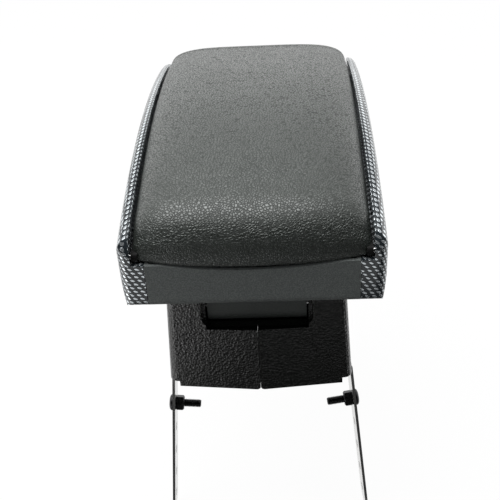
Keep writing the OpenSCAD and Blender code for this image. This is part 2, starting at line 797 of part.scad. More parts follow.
module tilt_shaft() {
    groove_x = shaft_len / 2 - 2.2;
    color("silver") difference() {
        rod(tilt, shaft_r, -shaft_len / 2, shaft_len / 2);
        mirrored() difference() {
            rod(tilt, shaft_r + 1, groove_x, groove_x + 1.1);
            rod(tilt, shaft_r - 0.9, groove_x - 1, groove_x + 2);
        }
    }
}

// Retaining clips in the shaft's grooves
module shaft_clips() {
    groove_x = shaft_len / 2 - 2.2;
    color("dimgray") mirrored() difference() {
        rod(tilt, shaft_r + 2.4, groove_x + 0.05, groove_x + 1.05);
        rod(tilt, shaft_r - 0.85, groove_x - 1, groove_x + 2);
        translate([groove_x - 1, tilt_y - 1.6, tilt_z]) cube([4, 3.2, 12]);
    }
}

// Washers between the pedestal's pocket walls and the hinge plates
module spacer_washers() {
    inner = slot_half + ped_wall + 0.1;
    color("gray") mirrored() difference() {
        rod(tilt, 10, inner, upright_x - 0.05);
        rod(tilt, shaft_r + 0.1, inner - 1, upright_x + 1);
    }
}

// Right-hand strap: a flange on the base plate, a bend and a leaning, perforated leg
leg_x = strap_span / 2 - strap_t / 2;
flange_in = upright_x + upright_t + 2;
flange_x = (flange_in + leg_x) / 2;
flange_slide = (leg_x - flange_in) / 2 - 5;
flange_bolt_r = 2.5;
leg_z = plate_t + strap_t / 2;
holes = [for (k = [0 : 4]) bolt_drop + hole_pitch * k];

strap_end_r = strap_w * 0.56;
module on_leg() {
    translate([leg_x, 0, leg_z]) rotate([0, -strap_lean, 0]) children();
}

module strap() {
    h = strap_t / 2;
    s = sin(strap_lean);
    c = cos(strap_lean);
    // Where the leg's two faces meet the flange's
    kink = h * (c - s * (1 - s) / c);
    color("silver") difference() {
        translate([0, strap_w / 2, 0]) rotate([90, 0, 0]) linear_extrude(strap_w)
            polygon(outline([
                [flange_in, leg_z - h, 0], [flange_in, leg_z + h, 0],
                [leg_x + kink, leg_z + h, strap_t + 1],
                [leg_x + h * c + s * strap_len, leg_z + h * s - c * strap_len, 0],
                [leg_x - h * c + s * strap_len, leg_z - h * s - c * strap_len, 0],
                [leg_x - kink, leg_z - h, 1]
            ]));
        // Rounded end, with an arc a little flatter than a half circle
        on_leg() translate([-5, 0, -strap_len + strap_end_r]) rotate([0, 90, 0]) difference() {
            translate([2, -strap_w, 0]) cube([2 * strap_end_r, 2 * strap_w, 10]);
            translate([0, 0, -1]) cylinder(r = strap_end_r, h = 12);
        }
        on_leg() for (t = holes) translate([-5, 0, -t]) rotate([0, 90, 0])
            cylinder(r = hole_r, h = 10);
        // Slot that lets the span be set to the console
        for (dx = [-flange_slide, flange_slide])
            translate([flange_x + dx, 0, 0]) cylinder(r = flange_bolt_r + 0.3, h = 12);
        translate([flange_x - flange_slide, -flange_bolt_r - 0.3, 0])
            cube([2 * flange_slide, 2 * flange_bolt_r + 0.6, 12]);
    }
}

module turned_right() {
    translate([flange_x, 0, 0]) rotate([0, 0, right_turn]) translate([-flange_x, 0, 0]) children();
}

module strap_flange_bolts() {
    seat = plate_t + strap_t;
    color("dimgray") for (side = [0, 1]) mirror([side, 0, 0])
        translate([flange_x, 0, seat]) hex_bolt(flange_bolt_r, 8, 3.5, seat - 0.1);
}

nut_h = 6;
root_r = bolt_r - 0.35;
// Clamp bolt: domed head outside, nut inside, free thread pointing inwards
module clamp_bolt() {
    grip = strap_t + nut_h;
    color("#1a1a1a") on_leg() translate([strap_t / 2, 0, -bolt_drop]) rotate([0, 90, 0]) union() {
        pan_head(bolt_r * 2.05, 3.2);
        translate([0, 0, -grip]) cylinder(r = root_r, h = grip + 0.5);
        translate([0, 0, -grip - bolt_free + 0.6]) cylinder(r = bolt_r, h = bolt_free - 0.6);
        translate([0, 0, -grip - bolt_free]) cylinder(r1 = bolt_r - 0.6, r2 = bolt_r, h = 0.6);
    }
}

module clamp_nut() {
    flats = 10;
    color("#1a1a1a") on_leg() translate([-strap_t / 2, 0, -bolt_drop]) rotate([0, -90, 0]) difference() {
        intersection() {
            cylinder(r = flats / sqrt(3), h = nut_h, $fn = 6);
            rotate_extrude() polygon([
                [0, 0], [flats * 0.5, 0], [flats * 0.6, 0.8], [flats * 0.6, nut_h - 1.2],
                [flats * 0.46, nut_h], [0, nut_h]
            ]);
        }
        translate([0, 0, -1]) cylinder(r = root_r + 0.02, h = nut_h + 2);
    }
}

pedestal_left();
pedestal_right();
pedestal_screws();
rest_bumpers();
base_plate();
mirror([1, 0, 0]) hinge_plate();  // hinge_plate_left
hinge_plate();  // hinge_plate_right
hinge_plate_bolts();
tilt_shaft();
shaft_clips();
spacer_washers();
mirror([1, 0, 0]) strap();  // strap_left
turned_right() strap();  // strap_right
strap_flange_bolts();
mirror([1, 0, 0]) clamp_bolt();  // clamp_bolt_left
turned_right() clamp_bolt();  // clamp_bolt_right
mirror([1, 0, 0]) clamp_nut();  // clamp_nut_left
turned_right() clamp_nut();  // clamp_nut_right
bin();
mirror([1, 0, 0]) trim();  // trim_left
trim();  // trim_right
trim_screws();
neck_cover();
mirror([1, 0, 0]) tilt_ear();  // tilt_ear_left
tilt_ear();  // tilt_ear_right
tilt_ear_screws();
lid_hinge_pins();
lid_tray();
lid_pad();
lid_screws();
latch_pin();
latch_lever();
latch_spring();
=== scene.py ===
# %% [markdown]
# # A padded armrest for the middle of a car
#
# This lesson dresses a car's centre armrest: a leatherette lid on a storage bin,
# glossy woven-look trims, a moulded pedestal and two plated straps. The shapes that
# carry load are already there as a fixed frame. We add the soft pad, the screw
# threads, the surfaces, the light and the camera.

# %% Open the frame
import json
import math

import bpy
import bmesh
from mathutils import Matrix, Vector


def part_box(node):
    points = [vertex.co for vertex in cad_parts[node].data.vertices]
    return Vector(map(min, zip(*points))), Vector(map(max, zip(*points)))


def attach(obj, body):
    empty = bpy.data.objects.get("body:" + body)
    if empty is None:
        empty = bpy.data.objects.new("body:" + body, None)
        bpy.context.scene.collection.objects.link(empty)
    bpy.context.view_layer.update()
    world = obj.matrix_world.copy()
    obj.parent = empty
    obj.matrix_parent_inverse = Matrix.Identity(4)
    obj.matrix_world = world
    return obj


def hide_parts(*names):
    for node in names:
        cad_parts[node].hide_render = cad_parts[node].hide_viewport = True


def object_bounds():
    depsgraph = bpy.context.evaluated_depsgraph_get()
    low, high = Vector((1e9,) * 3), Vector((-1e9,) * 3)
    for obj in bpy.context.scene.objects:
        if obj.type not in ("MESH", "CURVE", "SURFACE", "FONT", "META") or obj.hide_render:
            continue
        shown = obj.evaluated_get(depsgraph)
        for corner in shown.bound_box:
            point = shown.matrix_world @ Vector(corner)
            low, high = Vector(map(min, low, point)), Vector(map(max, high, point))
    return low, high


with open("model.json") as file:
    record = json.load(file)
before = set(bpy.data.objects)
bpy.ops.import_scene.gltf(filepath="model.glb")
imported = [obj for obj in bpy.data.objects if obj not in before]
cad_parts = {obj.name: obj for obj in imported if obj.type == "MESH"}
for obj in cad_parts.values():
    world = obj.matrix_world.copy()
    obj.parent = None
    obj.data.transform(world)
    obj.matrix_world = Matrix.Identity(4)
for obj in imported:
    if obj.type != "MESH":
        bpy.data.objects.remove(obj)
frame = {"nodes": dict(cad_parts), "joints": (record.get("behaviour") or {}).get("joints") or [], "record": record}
cad_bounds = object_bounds()
nodes = frame["nodes"]
MM = 0.001
print("pieces in the frame:", len(nodes))

# %% [markdown]
# ## Where we stand
#
# The armrest is seen from behind and above, a little from its right, with a medium
# lens. A camera can be aimed with a constraint, but three plain angles say exactly
# how it is held: how far it looks down, how far it turns, and how far it rolls.

# %% Camera
IMAGE_SIDE = 500
FOCAL_PIXELS = 950
CAMERA_PLACE = Vector((25.4, -498.9, 479.4)) * MM
LOOK_DOWN, TURN, ROLL = (math.radians(angle) for angle in (37.16, -3.29, -3.61))
SENSOR_WIDTH = 36
FAR_CLIP = 50


def camera_axes():
    """Right, up and backward directions of the camera."""
    level_part = math.cos(LOOK_DOWN)
    ahead = Vector((math.sin(TURN) * level_part, math.cos(TURN) * level_part, -math.sin(LOOK_DOWN)))
    level = Vector((math.cos(TURN), -math.sin(TURN), 0))
    above = level.cross(ahead)
    right = level * math.cos(ROLL) + above * math.sin(ROLL)
    up = above * math.cos(ROLL) - level * math.sin(ROLL)
    return right, up, -ahead


camera_data = bpy.data.cameras.new("viewpoint")
camera_data.sensor_width = SENSOR_WIDTH
camera_data.lens = FOCAL_PIXELS / IMAGE_SIDE * SENSOR_WIDTH
camera_data.clip_end = FAR_CLIP
camera = bpy.data.objects.new("viewpoint", camera_data)
bpy.context.scene.collection.objects.link(camera)
bpy.context.scene.camera = camera
right, up, back = camera_axes()
turned = Matrix((right, up, back)).transposed().to_4x4()
camera.matrix_world = Matrix.Translation(CAMERA_PLACE) @ turned
print("lens:", round(camera_data.lens, 1), "mm")

# %% [markdown]
# ## Node helpers
#
# A material is a small graph. These helpers add a node, feed its sockets and keep
# each recipe below short enough to read.


# %% Helpers for shader graphs
class Graph:
    """A thin layer over a node tree: add a node, then feed its inputs by name."""

    def __init__(self, tree):
        self.tree = tree

    def add(self, kind, inputs=None, **settings):
        made = self.tree.nodes.new("ShaderNode" + kind)
        for name, value in settings.items():
            setattr(made, name, value)
        for name, value in (inputs or {}).items():
            self.feed(made.inputs[name], value)
        return made

    def feed(self, socket, value):
        if isinstance(value, bpy.types.NodeSocket):
            self.tree.links.new(value, socket)
        elif isinstance(value, bpy.types.Node):
            self.tree.links.new(value.outputs[0], socket)
        else:
            socket.default_value = value

    def math(self, operation, first, second=0.0, third=0.0):
        return self.add("Math", {0: first, 1: second, 2: third}, operation=operation).outputs[0]

    def smooth(self, value, low, high, out_low=0.0, out_high=1.0):
        """A soft step from out_low to out_high while the value goes from low to high."""
        inputs = {
            "Value": value, "From Min": low, "From Max": high,
            "To Min": out_low, "To Max": out_high,
        }
        return self.add("MapRange", inputs, interpolation_type="SMOOTHSTEP").outputs[0]

    def mix(self, factor, first, second):
        """A blend of two colours. A Mix node keeps its colour sockets at 6, 7 and 2."""
        made = self.add("Mix", {0: factor, 6: first, 7: second}, data_type="RGBA")
        return made.outputs[2]

    def mix_values(self, factor, first, second):
        """A blend of two plain values. They sit at sockets 2, 3 and 0."""
        made = self.add("Mix", {0: factor, 2: first, 3: second}, data_type="FLOAT")
        return made.outputs[0]


def effect_group(name, inputs, outputs):
    """An empty node group. An input without a value is a coordinate, all else is a number."""
    tree = bpy.data.node_groups.new(name, "ShaderNodeTree")
    for socket_name, value in inputs.items():
        kind = "NodeSocketVector" if value is None else "NodeSocketFloat"
        socket = tree.interface.new_socket(socket_name, in_out="INPUT", socket_type=kind)
        if value is not None:
            socket.default_value = value
    for socket_name in outputs:
        tree.interface.new_socket(socket_name, in_out="OUTPUT", socket_type="NodeSocketFloat")
    print("group", name, "puts out", ", ".join(outputs))
    return Graph(tree), tree.nodes.new("NodeGroupInput"), tree.nodes.new("NodeGroupOutput")


# %% [markdown]
# ## Effects that several finishes share
#
# Moulded plastic has a fine spark-eroded texture, handling leaves faint smears in the
# gloss, and the raised parts of a grain catch more light. Each effect is one group, so
# every material uses the same recipe with its own scale and strength.

# %% Group: fine moulded texture
PIT_SHARE = 0.6
SPECKLE_FROM, SPECKLE_FULL = 0.42, 0.62
graph, taken, given = effect_group(
    "Moulded texture", {"Coordinate": None, "Scale": 900.0}, ("Height", "Speckle")
)
spot, scale = taken.outputs["Coordinate"], taken.outputs["Scale"]
fine = graph.add("TexNoise", {"Vector": spot, "Scale": scale, "Detail": 3.0})
pits = graph.add("TexVoronoi", {"Vector": spot, "Scale": scale}, feature="F1")
rise = graph.math("MULTIPLY_ADD", pits.outputs["Distance"], PIT_SHARE, fine.outputs[0])
graph.feed(given.inputs["Height"], rise)
graph.feed(given.inputs["Speckle"], graph.smooth(fine.outputs[0], SPECKLE_FROM, SPECKLE_FULL))

# %% Group: handling marks
MARK_NOISE = {"Scale": 22.0, "Detail": 4.0, "Distortion": 0.6}
graph, taken, given = effect_group(
    "Handling marks", {"Coordinate": None, "Roughness": 0.4, "Spread": 0.1}, ("Roughness",)
)
broad = graph.add("TexNoise", {"Vector": taken.outputs["Coordinate"], **MARK_NOISE})
around = graph.math("SUBTRACT", broad.outputs[0], 0.5)
swing = graph.math("MULTIPLY", around, taken.outputs["Spread"])
graph.feed(given.inputs["Roughness"], graph.math("ADD", taken.outputs["Roughness"], swing))

# %% Group: pebble grain of leatherette
WARP_SCALE, WARP_REACH = 90.0, 4 * MM
ROUND_TO = 0.3
VALLEY_TO = 0.16
TOP_FROM, TOP_FULL = 0.04, 0.22
WANDER_SHARE = 0.12
graph, taken, given = effect_group(
    "Pebble grain", {"Coordinate": None, "Scale": 420.0}, ("Height", "Valley", "Top")
)
spot, scale = taken.outputs["Coordinate"], taken.outputs["Scale"]
warp = graph.add("TexNoise", {"Vector": spot, "Scale": WARP_SCALE, "Detail": 2.0})
by_reach = {0: warp.outputs["Color"], 1: (WARP_REACH, WARP_REACH, WARP_REACH)}
bent = graph.add("VectorMath", by_reach, operation="MULTIPLY")
place = graph.add("VectorMath", {0: spot, 1: bent.outputs[0]}, operation="ADD").outputs[0]
cells = graph.add("TexVoronoi", {"Vector": place, "Scale": scale}, feature="DISTANCE_TO_EDGE")
from_edge = cells.outputs["Distance"]
wander = graph.add("TexNoise", {"Vector": place, "Scale": scale, "Detail": 2.0})
pebble = graph.smooth(from_edge, 0.0, ROUND_TO)
height = graph.math("MULTIPLY_ADD", wander.outputs[0], WANDER_SHARE, pebble)
graph.feed(given.inputs["Height"], height)
# Valley is 1 in the creases. There the leatherette paints shade into its colour and turns rougher.
graph.feed(given.inputs["Valley"], graph.smooth(from_edge, 0.0, VALLEY_TO, 1.0, 0.0))
graph.feed(given.inputs["Top"], graph.smooth(from_edge, TOP_FROM, TOP_FULL))

# %% [markdown]
# ## The raised weave on the trims
#
# The trims imitate woven carbon cloth. On the real part it is a film of small bright
# ovals in rows, each row a little to the side of the last, and every oval leans. A
# checker texture can't make ovals, so the group folds the surface coordinate into
# repeating cells and measures an ellipse in each one, in metres.

# %% Group: woven ovals
PITCH_ALONG, PITCH_ACROSS, ROW_SHIFT = 4.5 * MM, 2.9 * MM, 0.40
OVAL_LONG, OVAL_SHORT, OVAL_LEAN = 1.55 * MM, 0.80 * MM, math.radians(-30)
OVAL_OUTSIDE, OVAL_INSIDE = 1.25, 0.85
SWELL_OUTSIDE, SWELL_INSIDE = 1.5, 0.5
graph, taken, given = effect_group(
    "Woven ovals", {"Along": 0.0, "Across": 0.0}, ("Oval", "Height")
)
row = graph.math("DIVIDE", taken.outputs["Across"], PITCH_ACROSS)
column = graph.math("DIVIDE", taken.outputs["Along"], PITCH_ALONG)
shifted = graph.math("MULTIPLY_ADD", graph.math("FLOOR", row), ROW_SHIFT, column)
u = graph.math("SUBTRACT", graph.math("FRACT", shifted), 0.5)
v = graph.math("SUBTRACT", graph.math("FRACT", row), 0.5)
u_long = graph.math("MULTIPLY", u, PITCH_ALONG * math.cos(OVAL_LEAN) / OVAL_LONG)
u_short = graph.math("MULTIPLY", u, -PITCH_ALONG * math.sin(OVAL_LEAN) / OVAL_SHORT)
long_part = graph.math("MULTIPLY_ADD", v, PITCH_ACROSS * math.sin(OVAL_LEAN) / OVAL_LONG, u_long)
short_part = graph.math("MULTIPLY_ADD", v, PITCH_ACROSS * math.cos(OVAL_LEAN) / OVAL_SHORT, u_short)
long_square = graph.math("POWER", long_part, 2.0)
far_out = graph.math("ADD", long_square, graph.math("POWER", short_part, 2.0))
graph.feed(given.inputs["Oval"], graph.smooth(far_out, OVAL_OUTSIDE, OVAL_INSIDE))
graph.feed(given.inputs["Height"], graph.smooth(far_out, SWELL_OUTSIDE, SWELL_INSIDE))


# %% Helpers for materials
def new_material(name, color, roughness, metallic=0.0):
    """A material, its graph, its Principled shader and its object coordinate."""
    material = bpy.data.materials.new(name)
    material.use_nodes = True
    tree = material.node_tree
    shader = tree.nodes["Principled BSDF"]
    shader.inputs["Base Color"].default_value = color
    shader.inputs["Roughness"].default_value = roughness
    shader.inputs["Metallic"].default_value = metallic
    graph = Graph(tree)
    coordinate = graph.add("TexCoord").outputs["Object"]
    return material, graph, shader, coordinate


def use_group(graph, name, **inputs):
    """An effect group placed in a material with that material's own values."""
    made = graph.add("Group", node_tree=bpy.data.node_groups[name])
    for socket_name, value in inputs.items():
        graph.feed(made.inputs[socket_name], value)
    return made


def raise_surface(graph, shader, height, depth, strength):
    """Relief by bump, with its depth in metres."""
    bump = graph.add("Bump", {"Height": height, "Distance": depth, "Strength": strength})
    graph.feed(shader.inputs["Normal"], bump.outputs[0])


def handling_marks(graph, coordinate, roughness, spread):
    """A roughness that wanders around its middle value, as handled surfaces do."""
    values = {"Coordinate": coordinate, "Roughness": roughness, "Spread": spread}
    return use_group(graph, "Handling marks", **values).outputs[0]


def dress(material, *names):
    """Gives CAD pieces a finish through their own material slots."""
    for name in names:
        for slot in nodes[name].material_slots:
            slot.material = material
    print(material.name, "on", ", ".join(names))


# %% [markdown]
# ## Leatherette
#
# The lid's cover is a coated fabric pressed with a pebble grain. It is black, yet its
# top looks grey, because the coating has a soft gloss that picks up the sky. The
# valleys between the pebbles are duller than their tops, and their darker colour is
# painted shade.

# %% Material: leatherette
# The second colour is the top's colour darkened: painted shade for the grain's valleys.
LEATHER_TOP, LEATHER_VALLEY_SHADE = (0.005, 0.008, 0.005, 1), (0.002, 0.003, 0.002, 1)
LEATHER_ROUGHNESS, LEATHER_MARKS, VALLEY_ROUGHER = 0.42, 0.14, 0.3
COAT_ON_TOPS, COAT_ROUGHNESS = 0.55, 0.34
PEBBLES_PER_METRE, PEBBLE_DEPTH = 580.0, 0.22 * MM
leatherette, graph, shader, coordinate = new_material(
    "leatherette", LEATHER_TOP, LEATHER_ROUGHNESS
)
shader.inputs["Specular IOR Level"].default_value = 0.9
shader.inputs["Specular Tint"].default_value = (0.95, 1.0, 0.97, 1)
shader.inputs["Coat Roughness"].default_value = COAT_ROUGHNESS
grain = use_group(graph, "Pebble grain", Coordinate=coordinate, Scale=PEBBLES_PER_METRE)
valley, top = grain.outputs["Valley"], grain.outputs["Top"]
# Painted shade: the base colour darkens in the valleys.
graph.feed(shader.inputs["Base Color"], graph.mix(valley, LEATHER_TOP, LEATHER_VALLEY_SHADE))
marks = handling_marks(graph, coordinate, LEATHER_ROUGHNESS, LEATHER_MARKS)
duller = graph.math("MULTIPLY_ADD", valley, VALLEY_ROUGHER, marks)
graph.feed(shader.inputs["Roughness"], duller)
graph.feed(shader.inputs["Coat Weight"], graph.math("MULTIPLY", top, COAT_ON_TOPS))
raise_surface(graph, shader, grain.outputs["Height"], PEBBLE_DEPTH, 1.0)
print(leatherette.name, "is ready for the pad")

# %% [markdown]
# ## Woven-look trim
#
# The ovals are bright only where they mirror something bright, and they vanish where
# the trim rolls over and mirrors the dim room. So they are glossy and metallic on a
# near-black ground, not a pale paint. On the sides the rows follow the outline and the
# height. On top, where the rim faces up, they follow the length and the width. Which way
# a point faces is read in the trim's own directions, so that the weave stays the same
# when the armrest tips up.

# %% Material: woven-look trim
GROUND, OVAL_COLOR = (0.014, 0.018, 0.021, 1), (0.56, 0.6, 0.62, 1)
OVAL_METALLIC = 0.8
TRIM_ROUGHNESS, TRIM_MARKS = 0.14, 0.05
SWELL_DEPTH, SWELL_STRENGTH = 0.2 * MM, 0.9
FACES_UP = 0.72
woven, graph, shader, coordinate = new_material("woven_look_trim", GROUND, TRIM_ROUGHNESS)
axes = graph.add("SeparateXYZ", {0: coordinate})
length, height = axes.outputs[1], axes.outputs[2]
sideways = graph.math("ABSOLUTE", axes.outputs[0])
facing = graph.add("SeparateXYZ", {0: graph.add("TexCoord").outputs["Normal"]})
to_front = graph.math("GREATER_THAN", facing.outputs[1], 0.0)
full_width = cad_bounds[1][0] - cad_bounds[0][0]
past_corner = graph.math("SUBTRACT", full_width, sideways)
outline = graph.math("ADD", length, graph.mix_values(to_front, sideways, past_corner))
around = graph.math("MULTIPLY", outline, graph.math("SIGN", axes.outputs[0]))
side_weave = use_group(graph, "Woven ovals", Along=around, Across=height)
top_weave = use_group(graph, "Woven ovals", Along=length, Across=sideways)
level = graph.math("GREATER_THAN", graph.math("ABSOLUTE", facing.outputs[2]), FACES_UP)
oval, relief = (
    graph.mix_values(level, side_weave.outputs[name], top_weave.outputs[name])
    for name in ("Oval", "Height")
)
graph.feed(shader.inputs["Base Color"], graph.mix(oval, GROUND, OVAL_COLOR))
graph.feed(shader.inputs["Metallic"], graph.math("MULTIPLY", oval, OVAL_METALLIC))
marks = handling_marks(graph, coordinate, TRIM_ROUGHNESS, TRIM_MARKS)
graph.feed(shader.inputs["Roughness"], marks)
raise_surface(graph, shader, relief, SWELL_DEPTH, SWELL_STRENGTH)
dress(woven, "trim_left", "trim_right")

# %% [markdown]
# ## Moulded plastics
#
# The bin, the neck and the pedestal are injection moulded with a spark texture. They
# differ in how coarse the texture is and how much it shines: the bin is a dull dark
# grey, the pedestal a glossy black whose texture sparkles where it mirrors a light.


# %% Moulded plastics: the recipe
SPECKLE_LIGHTER = 1.7
TEXTURE_STRENGTH = 0.6
PLASTIC_MARKS = 0.08


def moulded_plastic(name, color, roughness, scale, depth):
    """A textured plastic. Scale is in features per metre, depth in metres."""
    material, graph, shader, coordinate = new_material(name, color, roughness)
    texture = use_group(graph, "Moulded texture", Coordinate=coordinate, Scale=scale)
    lighter = tuple(min(1.0, part * SPECKLE_LIGHTER) for part in color[:3]) + (1,)
    speckled = graph.mix(texture.outputs["Speckle"], color, lighter)
    graph.feed(shader.inputs["Base Color"], speckled)
    raise_surface(graph, shader, texture.outputs["Height"], depth, TEXTURE_STRENGTH)
    marks = handling_marks(graph, coordinate, roughness, PLASTIC_MARKS)
    graph.feed(shader.inputs["Roughness"], marks)
    return material


# %% Moulded plastics: the finishes
# The neck's colour is the bin's plastic made darker: painted shade for its place inside the pedestal's window.
panel_color, shaded_neck_color = (0.069, 0.076, 0.074, 1), (0.034, 0.038, 0.036, 1)
# The tray's near-black is its own black plastic, darkened further as painted shade so the hinge ears at the rear
# corners look shaded.
pedestal_color, tray_color_and_shade = (0.002, 0.0025, 0.002, 1), (0.004, 0.004, 0.004, 1)
rubber_color, nylon_color = (0.011, 0.011, 0.011, 1), (0.62, 0.61, 0.56, 1)
panel_plastic = moulded_plastic("panel_plastic", panel_color, 0.55, 1500.0, 0.1 * MM)
neck_plastic = moulded_plastic("neck_plastic", shaded_neck_color, 0.5, 1300.0, 0.08 * MM)
pedestal_plastic = moulded_plastic("pedestal_plastic", pedestal_color, 0.14, 640.0, 0.8 * MM)
tray_plastic = moulded_plastic("tray_plastic", tray_color_and_shade, 0.5, 1700.0, 0.03 * MM)
# Its reflection is cut to a tenth: painted shade over the hinge ears.
tray_shader = tray_plastic.node_tree.nodes["Principled BSDF"]
tray_shader.inputs["Specular IOR Level"].default_value = 0.1
bumper_rubber = moulded_plastic("bumper_rubber", rubber_color, 0.8, 800.0, 0.05 * MM)
nylon = moulded_plastic("nylon", nylon_color, 0.5, 1200.0, 0.03 * MM)
dress(panel_plastic, "bin")
dress(neck_plastic, "neck_cover")
dress(pedestal_plastic, "pedestal_left", "pedestal_right")
dress(tray_plastic, "lid_tray", "latch_lever")
dress(bumper_rubber, "rest_bumpers")
dress(nylon, "spacer_washers")

# %% [markdown]
# ## Metals
#
# The straps are cut from plated strip, so their finish has a faint grain along the
# rolling direction. Shafts and pins show the rings of the lathe. The clamp bolts are
# black oxide. The rest is plain plated steel.


# %% Metals: the recipe
STREAK_SHADE = 0.82
STREAK_DEPTH, STREAK_STRENGTH = 0.02 * MM, 0.35
METAL_MARKS = 0.12


def plated_steel(name, color, roughness, streak_scale):
    """Steel with streaks, which are drawn out where the scale is small."""
    material, graph, shader, coordinate = new_material(name, color, roughness, 1.0)
    drawn = graph.add("Mapping", {"Vector": coordinate, "Scale": streak_scale})
    streaks = graph.add("TexNoise", {"Vector": drawn.outputs[0], "Scale": 1.0, "Detail": 3.0})
    shade = tuple(part * STREAK_SHADE for part in color[:3]) + (1,)
    graph.feed(shader.inputs["Base Color"], graph.mix(streaks.outputs[0], shade, color))
    raise_surface(graph, shader, streaks.outputs[0], STREAK_DEPTH, STREAK_STRENGTH)
    marks = handling_marks(graph, coordinate, roughness, METAL_MARKS)
    graph.feed(shader.inputs["Roughness"], marks)
    return material


# %% Metals: the finishes
EVEN, FINE = (300.0, 300.0, 300.0), (500.0, 500.0, 500.0)
SHEET, STRIP, TURNED = (40.0, 40.0, 2500.0), (900.0, 900.0, 30.0), (2500.0, 60.0, 60.0)
strap_steel = plated_steel("strap_steel", (0.66, 0.66, 0.65, 1), 0.22, STRIP)
frame_steel = plated_steel("frame_steel", (0.58, 0.58, 0.57, 1), 0.3, SHEET)
turned_steel = plated_steel("turned_steel", (0.6, 0.6, 0.6, 1), 0.2, TURNED)
screw_steel = plated_steel("screw_steel", (0.5, 0.5, 0.5, 1), 0.3, EVEN)
spring_steel = plated_steel("spring_steel", (0.35, 0.35, 0.36, 1), 0.28, EVEN)
black_oxide = plated_steel("black_oxide", (0.045, 0.045, 0.047, 1), 0.38, FINE)
dress(strap_steel, "strap_left", "strap_right")
dress(frame_steel, "base_plate", "hinge_plate_left", "hinge_plate_right")
dress(frame_steel, "tilt_ear_left", "tilt_ear_right")
dress(turned_steel, "tilt_shaft", "lid_hinge_pins", "latch_pin")
dress(screw_steel, "pedestal_screws", "hinge_plate_bolts", "strap_flange_bolts")
dress(screw_steel, "trim_screws", "tilt_ear_screws", "lid_screws")
dress(spring_steel, "latch_spring", "shaft_clips")
dress(black_oxide, "clamp_bolt_left", "clamp_bolt_right")
dress(black_oxide, "clamp_nut_left", "clamp_nut_right")

# %% [markdown]
# ## Building meshes from rings
#
# Most of what we add is a row of rings joined into a skin, so one helper does it.


# %% Helper: skin over rings
def object_from_rings(name, rings, material):
    """A smooth closed skin over rings with the same number of points."""
    shape = bmesh.new()
    rows = [[shape.verts.new(point) for point in ring] for ring in rings]
    for row, next_row in zip(rows, rows[1:]):
        for i in range(len(row)):
            j = (i + 1) % len(row)
            shape.faces.new((row[i], row[j], next_row[j], next_row[i]))
    shape.faces.new(rows[0][::-1])
    shape.faces.new(rows[-1])
    bmesh.ops.recalc_face_normals(shape, faces=shape.faces)
    mesh = bpy.data.meshes.new(name)
    shape.to_mesh(mesh)
    shape.free()
    for polygon in mesh.polygons:
        polygon.use_smooth = True
    piece = bpy.data.objects.new(name, mesh)
    bpy.context.scene.collection.objects.link(piece)
    mesh.materials.append(material)
    print(name, "has", len(mesh.polygons), "faces")
    return piece


# %% [markdown]
# ## The pad
#
# Foam under a tight cover makes a crowned form: nearly flat on top, with a soft
# shoulder along each trim. At the rear it bulges over the panel and rolls under, and
# its lower edge sags in the middle. A cushion can be blown up with a cloth simulation,
# but a moulded foam core keeps its shape, so we loft it. The rings stand on a core
# line and reach out to the side view, so that both ends can turn under.

# %% Pad: measure the frame's pad
SIDE_GAP = 0.2 * MM
pad_node = nodes["lid_pad"]
pad_low, pad_high = (Vector(corner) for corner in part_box("lid_pad"))
pad_half = (pad_high.x - pad_low.x) / 2 - SIDE_GAP
pad_middle = (pad_low.y + pad_high.y) / 2
hinge = next(joint for joint in frame["joints"] if joint["name"] == "lid_hinge")
hinge_y, hinge_z = hinge["pos_m"][1], hinge["pos_m"][2]
print("pad:", round(pad_half * 2000), "mm wide,", round((pad_high.y - pad_low.y) * 1000), "mm long")

# %% Pad: its top and its underside
REAR_TRUSTED, FRONT_TRUSTED = 30 * MM, 25 * MM
SLOPE_STEP = 5 * MM
SEAT_INSET = 3 * MM


def surface_height(node, x, y, from_above):
    """Height of the first surface that a vertical line meets."""
    start = Vector((x, y, 1.0 if from_above else -1.0))
    hit, place, _, _ = node.ray_cast(start, Vector((0, 0, -1 if from_above else 1)))
    assert hit, (node.name, x, y)
    return place.z


def along_pad(x, y, from_above):
    """The same inside the pad's straight part, and carried on past its ends."""
    inside = min(max(y, pad_low.y + REAR_TRUSTED), pad_high.y - FRONT_TRUSTED)
    here = surface_height(pad_node, x, inside, from_above)
    step = SLOPE_STEP if inside < pad_middle else -SLOPE_STEP
    ahead = surface_height(pad_node, x, inside + step, from_above)
    return here + (ahead - here) / step * (y - inside)


def pad_seat(y):
    """Height of the pad's underside near its edge."""
    return along_pad(pad_half - SEAT_INSET, y, False)


def pad_crest(y):
    """Height of the pad's top on its middle line."""
    return along_pad(0.0, y, True)


crest_over_seat = pad_crest(pad_middle) - pad_seat(pad_middle)
print("in its middle the pad is", round(crest_over_seat * 1000, 1), "mm high")

# %% Pad: one rolled end
UNDER_ROUND = 9 * MM
END_POWER = 2.25
UNDER_SHARE, WHOLE_TURN = 0.62, 1.62
CORE_INSET, CORE_DROP = 6 * MM, 2 * MM
ROLL_STEPS = 26


def signed_power(value, power):
    """A power that keeps the sign, as rounded boxes need it."""
    return math.copysign(abs(value) ** power, value)


def rolled_end(tip_y, round_length, bottom, waist, sign):
    """Side view of one end from its underside to its top, with the core points beside it."""
    top_y = tip_y + sign * round_length
    crest, seat = pad_crest(top_y), pad_seat(top_y)
    core_low = waist - CORE_DROP
    path = []
    for k in range(ROLL_STEPS + 1):
        share = k / ROLL_STEPS
        angle = math.pi / 2 * (share * WHOLE_TURN - UNDER_SHARE)
        reach = abs(math.cos(angle)) ** (2 / END_POWER)
        rise = signed_power(math.sin(angle), 2 / END_POWER)
        height = crest - waist if rise > 0 else waist - bottom
        length = round_length if rise > 0 else UNDER_ROUND
        side_y = tip_y + sign * length * (1 - reach)
        core_y = tip_y + sign * (CORE_INSET + (round_length - CORE_INSET) * share ** 2)
        side = Vector((0, side_y, waist + height * rise))
        core = Vector((0, core_y, core_low + (seat - core_low) * share))
        path.append((side, core))
    return path


